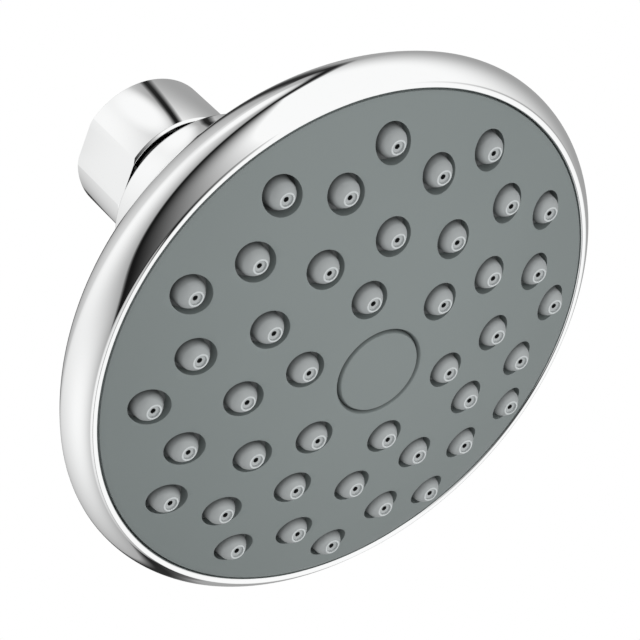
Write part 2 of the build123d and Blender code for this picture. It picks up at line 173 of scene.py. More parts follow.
class ShellSizes(PropertyGroup):
    """Sizes of the chrome bell."""
    radius: length("Radius", "Largest radius of the head", 63.5)
    rim_width: length("Rim width", "Width of the chrome rim round the plate", 5.1)
    height: length("Height", "Height from the plate's edge to the neck's top", 59.1)
    neck_radius: length("Neck radius", "Radius of the neck at its top", 22.4)
    shoulder_radius: length("Shoulder radius", "Radius of the rounded shoulder behind the rim", 32.0)
    wall: length("Wall", "Thickness of the bell's wall", 2.8)
    segments: IntProperty(name="Segments", description="Segments round the axis",
                          default=224, min=24)


class PlateSizes(PropertyGroup):
    """Sizes of the spray plate, its cap and its nozzles."""
    sag: length("Sag", "How far the dome's middle stands out past its edge", 10.9)
    hole_radius: length("Hole radius", "Radius of the hole round each nozzle", 4.2)
    cap_radius: length("Cap radius", "Radius of the cap in the middle", 9.6)
    nozzle_tip: length("Nozzle tip", "Outer radius of a nozzle's tip", 1.95)
    nozzle_base: length("Nozzle base", "Radius of a nozzle level with the plate", 3.1)
    nozzle_proud: length("Nozzle height", "How far a nozzle stands out of the plate", 1.8)
    jet_radius: length("Jet radius", "Radius of the hole that the water leaves by", 0.55)


class FinishColours(PropertyGroup):
    """Colours of the finishes, in linear light."""
    chrome: colour("Chrome", "Tint of the plated surfaces", 0.95, 0.955, 0.955)
    plate: colour("Plate", "Grey of the spray plate and its cap", 0.229, 0.26, 0.257)
    silicone: colour("Silicone", "Grey of the soft nozzles", 0.545, 0.575, 0.578)
    rubber: colour("Rubber", "Black of the seals", 0.018, 0.018, 0.018)
    plastic: colour("Plastic", "White of the inner pieces", 0.78, 0.78, 0.75)
    steel: colour("Steel", "Grey of the screw and the strainer", 0.58, 0.58, 0.57)


class StudioSettings(PropertyGroup):
    """Camera and light."""
    azimuth: turn_angle("Azimuth", "Where the camera stands round the object", -58.22)
    elevation: turn_angle("Elevation", "Height of the camera over the object", -41.58)
    roll: turn_angle("Roll", "Turn of the camera about its own line of sight", 46.04)
    distance: length("Distance", "Distance from the camera to the point that it looks at", 545.5)
    aim: FloatVectorProperty(name="Aim", description="Point that the camera looks at", size=3,
                             default=(-4.88 * MM, -2.13 * MM, -80.06 * MM), subtype="TRANSLATION")
    lens: FloatProperty(name="Lens", description="Focal length of the lens in millimetres",
                        default=150.0)
    ambient: FloatProperty(name="Ambient", description="Level of the light from all round",
                           default=0.26)
    key: FloatProperty(name="Key", description="Level of the main lamp on a white face",
                       default=1.03)
    top: FloatProperty(name="Top", description="Level of the lamp over the object", default=0.6)
    floor: length("Floor", "Height of the floor under the inlet", -1300.0)


class ShowerSettings(PropertyGroup):
    """All settings of the shower head."""
    connector: PointerProperty(type=ConnectorSizes)
    shell: PointerProperty(type=ShellSizes)
    plate: PointerProperty(type=PlateSizes)
    colours: PointerProperty(type=FinishColours)
    studio: PointerProperty(type=StudioSettings)


class Levels:
    """Heights and radii worked out from the settings."""

    def __init__(self, settings):
        connector, shell, plate = settings.connector, settings.shell, settings.plate
        self.nut_bottom = -connector.height
        self.neck_top = self.nut_bottom - connector.gap
        self.ball = self.neck_top - BALL_DEPTH
        self.face_edge = self.neck_top - shell.height
        self.apex = self.face_edge - plate.sag
        self.face_radius = shell.radius - shell.rim_width
        self.dome_radius = (self.face_radius**2 + plate.sag**2) / (2 * plate.sag)
        self.dome_centre = self.apex + self.dome_radius
        self.inlet_floor = -connector.thread_length - RELIEF_LENGTH
        self.stem_top = self.inlet_floor - WEB_THICKNESS - FIT

    def dome(self, offset, radius):
        """Height of the plate's dome, moved inwards by offset, at a distance from the axis."""
        return self.dome_centre - sqrt((self.dome_radius - offset)**2 - radius**2)

    def dome_angle(self, offset, radius):
        """Angle of that point about the dome's centre, from the outward direction."""
        return degrees(atan2(self.dome(offset, radius) - self.dome_centre, radius))

    def nozzles(self):
        """Axis of every nozzle, as a point on the dome's surface."""
        for share, count, start in zip(RING_SHARES, RING_COUNTS, RING_STARTS):
            radius = share * self.face_radius
            for index in range(count):
                angle = radians(start + 360 * index / count)
                yield Vector((radius * cos(angle), radius * sin(angle), self.dome(0, radius)))


class Outline:
    """Outline in the XZ plane, drawn as straight runs and arcs, then turned about Z."""

    def __init__(self, radius, height):
        self.mesh = bmesh.new()
        self.first = self.mesh.verts.new((radius, 0, height))
        self.last = self.first

    def line(self, *points):
        for radius, height in points:
            made = bmesh.ops.extrude_vert_indiv(self.mesh, verts=[self.last])
            self.last = made["verts"][0]
            self.last.co = (radius, 0, height)

    def arc(self, centre, sweep, steps):
        """Carries the last point round a centre by an angle in degrees, from outward to up."""
        made = bmesh.ops.spin(self.mesh, geom=[self.last], cent=(centre[0], 0, centre[1]),
                              axis=(0, -1, 0), angle=radians(sweep), steps=steps)
        self.last = next(item for item in made["geom_last"] if isinstance(item, bmesh.types.BMVert))

    def dome(self, levels, offset, radius, steps):
        """Follows the plate's dome from the last point to another distance from the axis."""
        start = degrees(atan2(self.last.co.z - levels.dome_centre, self.last.co.x))
        self.arc((0, levels.dome_centre), levels.dome_angle(offset, radius) - start, steps)

    def bow(self, end, rise, steps):
        """Carries the last point to another along an arc that stands out from its chord by rise."""
        start = Vector((self.last.co.x, self.last.co.z))
        chord = Vector(end) - start
        depth = (chord.length_squared / 4 - rise**2) / (2 * rise)
        centre = start + chord / 2 - depth * Vector((-chord.y, chord.x)).normalized()
        self.arc(centre, -2 * degrees(atan2(chord.length / 2, depth)), steps)

    def close(self):
        self.mesh.edges.new((self.last, self.first))

    def turn(self, segments):
        """Turns the outline into a closed body about Z."""
        drawn = self.mesh.verts[:] + self.mesh.edges[:]
        bmesh.ops.spin(self.mesh, geom=drawn, cent=(0, 0, 0), axis=(0, 0, 1), angle=2 * pi,
                       steps=segments, use_merge=True)
        bmesh.ops.remove_doubles(self.mesh, verts=self.mesh.verts, dist=WELD)
        bmesh.ops.recalc_face_normals(self.mesh, faces=self.mesh.faces)
        return self.mesh


def polar(centre, radius, angle):
    """Point of a circle in the outline's plane."""
    return (centre[0] + radius * cos(radians(angle)), centre[1] + radius * sin(radians(angle)))


def soften(mesh, width, limit, segments=2, keep=None):
    """Rounds the edges whose faces meet at more than the limit, in degrees."""
    edges = [edge for edge in mesh.edges
             if len(edge.link_faces) == 2 and edge.calc_face_angle() > radians(limit)
             and (keep is None or keep(edge))]
    bmesh.ops.bevel(mesh, geom=edges, offset=width, offset_type="OFFSET", segments=segments,
                    profile=0.5, affect="EDGES", clamp_overlap=True, material=-1)


def solid(name, mesh):
    """Object that holds a finished mesh."""
    data = bpy.data.meshes.new(name)
    mesh.to_mesh(data)
    mesh.free()
    item = bpy.data.objects.new(name, data)
    bpy.context.scene.collection.objects.link(item)
    return item


def shade(item):
    """Smooth faces that stay crisp where they meet at more than the limit."""
    item.data.shade_smooth()
    item.data.set_sharp_from_angle(angle=SMOOTH_LIMIT)


def combine(item, other, operation):
    """Applies a boolean between two objects and removes the second."""
    step = item.modifiers.new(operation.title(), "BOOLEAN")
    step.operation = operation
    step.solver = "EXACT"
    step.object = other
    graph = bpy.context.evaluated_depsgraph_get()
    made = bpy.data.meshes.new_from_object(item.evaluated_get(graph))
    item.modifiers.clear()
    item.data = made
    bpy.data.objects.remove(other)


def rods(name, places, radius, low, high):
    """Upright rods at each place, from low to high about the place's own height."""
    mesh = bmesh.new()
    for place in places:
        middle = place + Vector((0, 0, (low + high) / 2))
        bmesh.ops.create_cone(mesh, cap_ends=True, segments=48, radius1=radius, radius2=radius,
                              depth=high - low, matrix=Matrix.Translation(middle))
    return solid(name, mesh)


def mark(data, name, chosen):
    """Sets a face attribute to one on the chosen faces, for a finish to read."""
    values = data.attributes.new(name, "FLOAT", "FACE").data
    for face in data.polygons:
        if chosen(face):
            values[face.index].value = 1.0


def dress(item, material, body, slot, *stands_for):
    """Gives a piece its finish and body, and hides the solids that it stands for; the slot is not
    used.
    """
    shade(item)
    item.data.materials.clear()
    item.data.materials.append(material)
    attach(item, body)
    if stands_for:
        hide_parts(*stands_for)


class Wire:
    """Output of a shader node that can be used in a Python expression."""

    def __init__(self, graph, socket):
        self.graph = graph
        self.socket = socket

    def join(self, operation, first, second):
        return self.graph.out("ShaderNodeMath", 0, {0: first, 1: second}, operation=operation)

    def __add__(self, other):
        return self.join("ADD", self, other)

    def __sub__(self, other):
        return self.join("SUBTRACT", self, other)

    def __rsub__(self, other):
        return self.join("SUBTRACT", other, self)

    def __mul__(self, other):
        return self.join("MULTIPLY", self, other)

    def __truediv__(self, other):
        return self.join("DIVIDE", self, other)

    def at_least(self, floor):
        return self.join("MAXIMUM", self, floor)

    def size(self):
        return self.join("ABSOLUTE", self, 0.0)

    def raised(self, power):
        return self.join("POWER", self, power)

    def limited(self):
        """Held between 0 and 1."""
        return self.graph.out("ShaderNodeClamp", 0, {0: self})

    def towards(self, goal, share):
        """Moved to a goal by a share of the way."""
        return self + (goal - self) * share

    __radd__ = __add__
    __rmul__ = __mul__


class Graph:
    """Node tree of a material or of the world."""

    def __init__(self, owner):
        owner.use_nodes = True
        self.tree = owner.node_tree
        self.tree.nodes.clear()

    def add(self, kind, inputs=None, **settings):
        """Adds a node, sets it up, and feeds its sockets with values or wires."""
        node = self.tree.nodes.new(kind)
        for key, value in settings.items():
            setattr(node, key, value)
        for key, value in (inputs or {}).items():
            if isinstance(value, Wire):
                self.tree.links.new(value.socket, node.inputs[key])
            else:
                node.inputs[key].default_value = value
        return node

    def out(self, kind, output, inputs=None, **settings):
        return Wire(self, self.add(kind, inputs, **settings).outputs[output])

    def noise(self, scale, detail):
        """Noise over the piece's own coordinates, at so many cells to the metre."""
        place = self.out("ShaderNodeTexCoord", "Object")
        return self.out("ShaderNodeTexNoise", 0,
                        {"Vector": place, "Scale": scale, "Detail": detail})

    def blend(self, share, first, second):
        """Mix of two colours, each a wire or three parts."""
        pair = [part if isinstance(part, Wire) else (*part, 1.0) for part in (first, second)]
        return self.out("ShaderNodeMix", 2, {0: share, 6: pair[0], 7: pair[1]}, data_type="RGBA")

    def bump(self, height, strength, depth):
        return self.out("ShaderNodeBump", 0,
                        {"Height": height, "Strength": strength, "Distance": depth})


def finish(name, build):
    """Material whose surface is made by the build function, made once."""
    made = bpy.data.materials.get(name)
    if made is None:
        made = bpy.data.materials.new(name)
        graph = Graph(made)
        surface = build(graph, bpy.context.scene.shower_head.colours)
        shader = graph.out("ShaderNodeBsdfPrincipled", 0, surface)
        graph.add("ShaderNodeOutputMaterial", {"Surface": shader})
    return made


# Tint times a share: random tone in some finishes, painted shade or painted highlight in others.
def scaled_tint(tint, share):
    return tuple(share * part for part in tint)


# Shares of a finish's own colour where it lies in shade or catches the light
UNDERSIDE_SHADE = 0.05
GROOVE_SHADE = 0.3
RECESS_SHADE = 0.25
BORE_SHADE = 0.05
TIP_HIGHLIGHT = 1.18
RECESS_DEPTH = 0.9 * MM
RECESS_FADE = 1.8 * MM


def chrome_surface(graph, colours):
    """Bright plating with the faintest haze, and painted shade that makes the connector's underside
    dark.
    """
    haze = graph.noise(60.0, 4.0)
    # Painted shade: the chrome on the connector's downward faces is darkened nearly to black.
    painted_underside_shade = graph.out("ShaderNodeAttribute", "Fac", attribute_name="underside")
    tone = graph.blend(painted_underside_shade, colours.chrome, scaled_tint(colours.chrome, UNDERSIDE_SHADE))
    return {"Base Color": tone, "Metallic": 1.0, "Roughness": 0.02 + 0.03 * haze}


def plate_surface(graph, colours):
    """Grey moulded plastic with a fine satin grain, and painted shade down in the groove round the
    cap.
    """
    middle = bpy.context.scene.shower_head.plate.cap_radius + FIT / 2
    cloud = graph.noise(45.0, 3.0)
    grain = graph.noise(3200.0, 2.0)
    tone = graph.blend(cloud, scaled_tint(colours.plate, 0.97), scaled_tint(colours.plate, 1.03))
    place = graph.out("ShaderNodeTexCoord", "Object")
    level = graph.out("ShaderNodeVectorMath", 0, {0: place, 1: (1.0, 1.0, 0.0)},
                      operation="MULTIPLY")
    reach = graph.out("ShaderNodeVectorMath", "Value", {0: level}, operation="LENGTH")
    # Painted shade: the plate darkens in a narrow band down in the groove round the cap.
    groove = (1.0 - (reach - middle).size() / CAP_GROOVE).limited()
    tone = graph.blend(groove, tone, scaled_tint(colours.plate, GROOVE_SHADE))
    return {"Base Color": tone, "Roughness": 0.46 + 0.1 * grain,
            "Normal": graph.bump(grain, 0.12, 0.04 * MM)}


def silicone_surface(graph, colours):
    """Soft grey silicone with a painted highlight on the tips, and painted shade in the jets and in
    the recess round each nozzle.
    """
    levels = Levels(bpy.context.scene.shower_head)
    cloud = graph.noise(160.0, 3.0)
    grain = graph.noise(5200.0, 2.0)
    tone = graph.blend(cloud, scaled_tint(colours.silicone, 0.8), scaled_tint(colours.silicone, 0.88))
    bore = graph.out("ShaderNodeAttribute", "Fac", attribute_name="bore")
    tip = graph.out("ShaderNodeAttribute", "Fac", attribute_name="tip")
    place = graph.out("ShaderNodeTexCoord", "Object")
    reach = graph.out("ShaderNodeVectorMath", "Value", {0: place, 1: (0.0, 0.0, levels.dome_centre)},
                      operation="DISTANCE")
    # Painted shade: darker down in the recess round each nozzle, rising to the full tone just above
    # the plate.
    proud = ((reach - levels.dome_radius + RECESS_DEPTH) / RECESS_FADE).limited()
    tone = graph.blend(proud, scaled_tint(colours.silicone, RECESS_SHADE), tone)
    # Painted highlight: the tip ring is lighter than the rest of the silicone.
    tone = graph.blend(tip, tone, scaled_tint(colours.silicone, TIP_HIGHLIGHT))
    # Painted shade: the jet bores are nearly black.
    tone = graph.blend(bore, tone, scaled_tint(colours.silicone, BORE_SHADE))
    return {"Base Color": tone, "Roughness": 0.42 + 0.12 * grain,
            "Normal": graph.bump(grain, 0.08, 0.03 * MM)}


def rubber_surface(graph, colours):
    """Black seal rubber."""
    cloud = graph.noise(220.0, 3.0)
    tone = graph.blend(cloud, scaled_tint(colours.rubber, 0.8), scaled_tint(colours.rubber, 1.6))
    return {"Base Color": tone, "Roughness": 0.55 + 0.2 * cloud}


def plastic_surface(graph, colours):
    """White engineering plastic."""
    cloud = graph.noise(90.0, 3.0)
    grain = graph.noise(2600.0, 2.0)
    tone = graph.blend(cloud, scaled_tint(colours.plastic, 0.96), scaled_tint(colours.plastic, 1.02))
    return {"Base Color": tone, "Roughness": 0.38 + 0.15 * grain,
            "Normal": graph.bump(grain, 0.1, 0.03 * MM)}


def steel_surface(graph, colours):
    """Drawn stainless steel."""
    streak = graph.noise(900.0, 5.0)
    tone = graph.blend(streak, scaled_tint(colours.steel, 0.85), scaled_tint(colours.steel, 1.1))
    return {"Base Color": tone, "Metallic": 1.0, "Roughness": 0.22 + 0.2 * streak}


def chrome():
    return finish("chrome_plating", chrome_surface)


def plate_grey():
    return finish("plate_grey", plate_surface)


def silicone():
    return finish("nozzle_silicone", silicone_surface)


def rubber():
    return finish("seal_rubber", rubber_surface)


def white_plastic():
    return finish("white_plastic", plastic_surface)


def steel():
    return finish("drawn_steel", steel_surface)


class ShellCurves:
    """Centres and angles of the bell's tangent arcs."""

    def __init__(self, levels, shell):
        self.lip = levels.face_radius + FACE_GAP
        self.rim = levels.face_edge + RIM_HEIGHT
        self.crease = (self.lip + LIP_WIDTH, levels.face_edge + LIP_BACK)
        reach, rise = shell.radius - self.crease[0], self.rim - self.crease[1]
        self.front_radius = (reach**2 + rise**2) / (2 * reach)
        self.front = (shell.radius - self.front_radius, self.rim)
        self.front_sweep = degrees(atan2(rise, self.crease[0] - self.front[0]))
        self.turn = (shell.radius - RIM_TURN, self.rim)
        self.shoulder = polar(self.turn, RIM_TURN - shell.shoulder_radius, SHOULDER_START)
        self.flare_top = levels.neck_top - NECK_EDGE
        out, up = shell.neck_radius - self.shoulder[0], self.flare_top - self.shoulder[1]
        span = shell.shoulder_radius - out
        self.flare_radius = (out**2 + up**2 - shell.shoulder_radius**2) / (2 * span)
        self.flare = (shell.neck_radius + self.flare_radius, self.flare_top)
        self.tangent = degrees(atan2(up, self.flare[0] - self.shoulder[0]))
        self.inner_shoulder = shell.shoulder_radius - shell.wall
        self.inner_flare = self.flare_radius + shell.wall
        self.stop = self.lip - STOP_WIDTH
        across = self.stop - self.shoulder[0]
        self.stop_angle = degrees(atan2(sqrt(self.inner_shoulder**2 - across**2), across))
        across = self.flare[0] - SOCKET_BORE - SOCKET_WALL
        self.pocket_angle = degrees(atan2(sqrt(self.inner_flare**2 - across**2), across))


class SHOWER_OT_shell(Operator):
    """Chrome bell with a bevelled lip, a rounded rim, a flared back and a thick neck"""
    bl_idname = "shower.shell"
    bl_label = "Shell"

    def execute(self, context):
        settings = context.scene.shower_head
        shell, levels = settings.shell, Levels(settings)
        curves = ShellCurves(levels, shell)
        edge = levels.face_edge
        neck = levels.neck_top
        socket_end = levels.ball - SOCKET_END
        outline = Outline(curves.lip, edge - LIP_PROUD + LIP_ROUND)
        outline.line((curves.lip + LIP_ROUND, edge - LIP_PROUD),
                     (curves.crease[0] - LIP_STEP, edge - LIP_PROUD), curves.crease)
        outline.arc(curves.front, curves.front_sweep, 28)
        outline.arc(curves.turn, SHOULDER_START, 10)
        outline.arc(curves.shoulder, curves.tangent - SHOULDER_START, 30)
        outline.arc(curves.flare, -curves.tangent, 30)
        outline.arc((shell.neck_radius - NECK_EDGE, curves.flare_top), 90, 6)
        outline.line((SOCKET_MOUTH, neck), (SOCKET_MOUTH, neck - SOCKET_LIP),
                     (SOCKET_BORE, neck - SOCKET_LIP), (SOCKET_BORE, socket_end),
                     (SOCKET_BORE + SOCKET_WALL, socket_end),
                     polar(curves.flare, curves.inner_flare, 180 + curves.pocket_angle))
        outline.arc(curves.flare, curves.tangent - curves.pocket_angle, 14)
        outline.arc(curves.shoulder, curves.stop_angle - curves.tangent, 14)
        outline.line((curves.stop, edge + STOP_LEVEL), (curves.lip, edge + STOP_LEVEL),
                     (curves.lip, edge + SNAP_LEVEL + SNAP_HEIGHT),
                     (curves.lip + SNAP_DEPTH, edge + SNAP_LEVEL + SNAP_HEIGHT),
                     (curves.lip + SNAP_DEPTH, edge + SNAP_LEVEL), (curves.lip, edge + SNAP_LEVEL))
        outline.close()
        mesh = outline.turn(shell.segments)
        soften(mesh, 0.12 * MM, 15)
        dress(solid("bell", mesh), chrome(), "head", "chrome", "shell")
        return {"FINISHED"}


class SHOWER_OT_plate(Operator):
    """Domed grey plate with a hole for every nozzle"""
    bl_idname = "shower.plate"
    bl_label = "Spray plate"

    def execute(self, context):
        settings = context.scene.shower_head
        plate, levels = settings.plate, Levels(settings)
        edge, apex, rim = levels.face_edge, levels.apex, levels.face_radius
        inner = rim - PLATE_RIM
        recess = plate.cap_radius + FIT
        recess_top = apex + CAP_THICKNESS + FIT
        hub_top = apex + PLATE_THICKNESS + HUB_RISE
        pad_top = apex + PLATE_THICKNESS + HUB_PAD_RISE
        bead_low, bead_high = edge + SNAP_LEVEL + FIT, edge + SNAP_LEVEL + SNAP_HEIGHT - FIT
        outline = Outline(recess + CAP_GROOVE, levels.dome(0, recess + CAP_GROOVE))
        outline.dome(levels, 0, rim, 40)
        outline.line((rim, bead_low), (rim + SNAP_DEPTH, bead_low), (rim + SNAP_DEPTH, bead_high),
                     (rim, bead_high), (rim, edge + STOP_LEVEL - FIT),
                     (inner, edge + STOP_LEVEL - FIT), (inner, levels.dome(PLATE_THICKNESS, inner)))
        outline.dome(levels, PLATE_THICKNESS, HUB_PAD, 40)
        outline.line((HUB_PAD, pad_top), (HUB_RADIUS, pad_top), (HUB_RADIUS, hub_top),
                     (SCREW_RADIUS + FIT, hub_top), (SCREW_RADIUS + FIT, recess_top + HEAD_RECESS),
                     (SCREW_HEAD + FIT, recess_top + HEAD_RECESS), (SCREW_HEAD + FIT, recess_top),
                     (recess, recess_top), (recess, levels.dome(0, recess) + GROOVE_DEPTH))
        outline.close()
        mesh = outline.turn(144)
        soften(mesh, 0.15 * MM, 40)
        item = solid("spray_plate", mesh)
        cutters = rods("hole_cutters", levels.nozzles(), plate.hole_radius, -4 * MM, 6 * MM)
        combine(item, cutters, "DIFFERENCE")
        mesh = bmesh.new()
        mesh.from_mesh(item.data)
        soften(mesh, 0.16 * MM, 50, 2, self.rims(levels, plate.hole_radius))
        mesh.to_mesh(item.data)
        mesh.free()
        dress(item, plate_grey(), "head", "grey_plastic", "face_plate")
        return {"FINISHED"}

    @staticmethod
    def rims(levels, radius):
        """Test that picks the edges round the holes on the outer surface."""
        axes = list(levels.nozzles())

        def on_rim(edge):
            middle = (edge.verts[0].co + edge.verts[1].co) / 2
            if abs(middle.z - levels.dome(0, middle.xy.length)) > RIM_MARGIN:
                return False
            return any(abs((middle - axis).xy.length - radius) < RIM_MARGIN for axis in axes)
        return on_rim


class SHOWER_OT_cap(Operator):
    """Flush cap over the screw, with a bevel that forms the fine groove"""
    bl_idname = "shower.cap"
    bl_label = "Centre cap"

    def execute(self, context):
        settings = context.scene.shower_head
        levels, radius = Levels(settings), settings.plate.cap_radius
        outline = Outline(0, levels.apex)
        outline.dome(levels, 0, radius - CAP_GROOVE, 16)
        outline.line((radius, levels.dome(0, radius) + GROOVE_DEPTH),
                     (radius, levels.apex + CAP_THICKNESS), (0, levels.apex + CAP_THICKNESS))
        mesh = outline.turn(96)
        soften(mesh, 0.1 * MM, 30)
        dress(solid("cap", mesh), plate_grey(), "head", "grey_plastic", "centre_cap")
        return {"FINISHED"}


class SHOWER_OT_nozzles(Operator):
    """Soft sheet behind the plate, with every nozzle, its ringed tip and its jet hole"""
    bl_idname = "shower.nozzles"
    bl_label = "Nozzle mat"

    def execute(self, context):
        settings = context.scene.shower_head
        plate, levels = settings.plate, Levels(settings)
        outer, inner = PLATE_THICKNESS + FIT, PLATE_THICKNESS + FIT + MAT_THICKNESS
        rim, hole = levels.face_radius - PLATE_RIM - FIT, HUB_PAD + FIT
        outline = Outline(hole, levels.dome(outer, hole))
        outline.dome(levels, outer, rim, 24)
        outline.line((rim, levels.dome(inner, rim)))
        outline.dome(levels, inner, hole, 24)
        outline.close()
        sheet = solid("nozzle_mat_soft", outline.turn(120))
        places = list(levels.nozzles())
        combine(sheet, rods("sheet_cutters", places, SHEET_HOLE, -1 * MM, 8 * MM), "DIFFERENCE")
        combine(sheet, self.nozzles(plate, places, inner), "UNION")
        reach, start = plate.jet_radius + BORE_MARGIN, NOZZLE_DISH - plate.nozzle_proud

        # Faces of the jet bores, which the silicone finish darkens as painted shade.
        def in_bore(face):
            return any((face.center - place).xy.length < reach and face.center.z > place.z + start
                       for place in places)
        # Faces of each tip ring, which the silicone finish lightens as a painted highlight.
        ring = plate.nozzle_tip - NOZZLE_EDGE

        def on_tip(face):
            return any(ring - NOZZLE_RIM < (face.center - place).xy.length < ring + TIP_MARGIN
                       and face.center.z < place.z - plate.nozzle_proud + NOZZLE_EDGE
                       for place in places)
        mark(sheet.data, "bore", in_bore)
        mark(sheet.data, "tip", on_tip)
        dress(sheet, silicone(), "head", "grey_silicone", "nozzle_mat")
        return {"FINISHED"}

    @staticmethod
    def nozzles(plate, places, inner):
        """All nozzles: a convex cone, a flat ring at its tip, a dish in it and the jet hole."""
        tip, base, top = plate.nozzle_tip, plate.nozzle_base, -plate.nozzle_proud
        back = inner - NOZZLE_INSET
        ring, jet = tip - NOZZLE_EDGE, plate.jet_radius
        dish, dish_floor = ring - NOZZLE_RIM, top + NOZZLE_DISH
        outline = Outline(base + NOZZLE_FLARE, back)
        outline.line((base, 0))
        outline.bow((tip, top + NOZZLE_EDGE), NOZZLE_BOW, 10)
        outline.line((ring, top), (dish, top), (dish - DISH_DRAFT, dish_floor),
                     (jet + JET_EDGE, dish_floor), (jet, dish_floor + JET_EDGE),
                     (jet, JET_LENGTH), (JET_MOUTH, back))
        outline.close()
        one = outline.turn(36)
        soften(one, 0.1 * MM, 28, 2)
        mesh = bmesh.new()
        data = bpy.data.meshes.new("nozzle_form")
        one.to_mesh(data)
        one.free()
        for place in places:
            first = len(mesh.verts)
            mesh.from_mesh(data)
            mesh.verts.ensure_lookup_table()
            bmesh.ops.translate(mesh, verts=mesh.verts[first:], vec=place)
        bpy.data.meshes.remove(data)
        return solid("nozzle_forms", mesh)


class SHOWER_OT_connector(Operator):
    """Round connector with two wrench flats"""
    bl_idname = "shower.connector"
    bl_label = "Connector"

    def execute(self, context):
        settings = context.scene.shower_head
        sizes, levels = settings.connector, Levels(settings)
        radius, bottom, floor = sizes.radius, levels.nut_bottom, levels.inlet_floor
        thread, relief = sizes.thread_radius, sizes.thread_radius + RELIEF_DEPTH
        socket, web = SHANK_RADIUS + FIT, floor - WEB_THICKNESS
        outline = Outline(thread, 0)
        outline.line((radius - NUT_EDGE, 0), (radius, -NUT_EDGE), (radius, bottom + NUT_EDGE),
                     (radius - NUT_EDGE, bottom), (socket, bottom), (socket, web), (WEB_BORE, web),
                     (WEB_BORE, floor), (relief, floor), (relief, -sizes.thread_length),
                     (thread, -sizes.thread_length))
        outline.close()
        mesh = outline.turn(160)
        for side in (-1, 1):
            everything = mesh.verts[:] + mesh.edges[:] + mesh.faces[:]
            cut = bmesh.ops.bisect_plane(mesh, geom=everything, dist=WELD,
                                         plane_co=(side * sizes.across_flats / 2, 0, 0),
                                         plane_no=(side, 0, 0), clear_outer=True)
            rim = [item for item in cut["geom_cut"] if isinstance(item, bmesh.types.BMEdge)]
            bmesh.ops.holes_fill(mesh, edges=rim, sides=0)
        bmesh.ops.recalc_face_normals(mesh, faces=mesh.faces)
        soften(mesh, 0.14 * MM, 12)
        item = solid("connector", mesh)
        # Marks the downward faces of the underside, where the chrome finish paints shade.
        mark(item.data, "underside",
             lambda face: face.normal.z < -0.9 and face.center.z < bottom + FIT)
        dress(item, chrome(), "connector", "chrome", "connector_nut")
        return {"FINISHED"}


class SHOWER_OT_thread(Operator):
    """Ridge of the inlet's pipe thread"""
    bl_idname = "shower.thread"
    bl_label = "Inlet thread"

    def execute(self, context):
        sizes = context.scene.shower_head.connector
        wall, pitch = sizes.thread_radius + THREAD_SEAT, sizes.thread_pitch
        crest, start = sizes.thread_radius - THREAD_DEPTH, -0.5 * pitch
        steps = int((sizes.thread_length - 1.2 * pitch) / pitch * THREAD_STEPS)
        outline = Outline(wall, start)
        outline.line(*((radius, start - share * pitch)
                       for radius, share in zip((crest, crest, wall), THREAD_FLANKS)))
        outline.close()
        mesh = outline.mesh
        bmesh.ops.contextual_create(mesh, geom=mesh.edges[:])
        bmesh.ops.spin(mesh, geom=mesh.faces[:], cent=(0, 0, 0), axis=(0, 0, 1),
                       angle=2 * pi * steps / THREAD_STEPS, dvec=(0, 0, -pitch / THREAD_STEPS),
                       steps=steps)
        bmesh.ops.recalc_face_normals(mesh, faces=mesh.faces)
        dress(solid("inlet_ridges", mesh), chrome(), "connector", "chrome")
        return {"FINISHED"}


class SHOWER_OT_ball(Operator):
    """Polished ball and stem that the head hangs on"""
    bl_idname = "shower.ball"
    bl_label = "Swivel ball"

    def execute(self, context):
        settings = context.scene.shower_head
        radius, levels = settings.connector.ball_radius, Levels(settings)
        bottom, top = levels.nut_bottom, levels.stem_top
        groove, half = (top + bottom) / 2, RING_SECTION + GROOVE_PLAY / 2
        groove_floor = SHANK_RADIUS - 2 * RING_SECTION
        neck = degrees(atan2(sqrt(radius**2 - BALL_NECK**2), BALL_NECK))
        flat = -degrees(atan2(BALL_FLAT, sqrt(radius**2 - BALL_FLAT**2)))
        collar = bottom - COLLAR_HEIGHT
        outline = Outline(SHANK_BORE, top)
        outline.line((SHANK_RADIUS, top), (SHANK_RADIUS, groove + half),
                     (groove_floor, groove + half), (groove_floor, groove - half),
                     (SHANK_RADIUS, groove - half), (SHANK_RADIUS, bottom),
                     (SHANK_COLLAR, bottom), (SHANK_COLLAR, collar), (BALL_NECK, collar),
                     polar((0, levels.ball), radius, neck))
        outline.arc((0, levels.ball), flat - neck, 28)
        outline.line((SHANK_BORE + BORE_FLARE, levels.ball - BALL_FLAT),
                     (SHANK_BORE, levels.ball - BALL_FLAT + BORE_FLARE))
        outline.close()
        mesh = outline.turn(96)
        soften(mesh, 0.2 * MM, 30)
        dress(solid("ball", mesh), chrome(), "connector", "chrome", "swivel_ball")
        return {"FINISHED"}


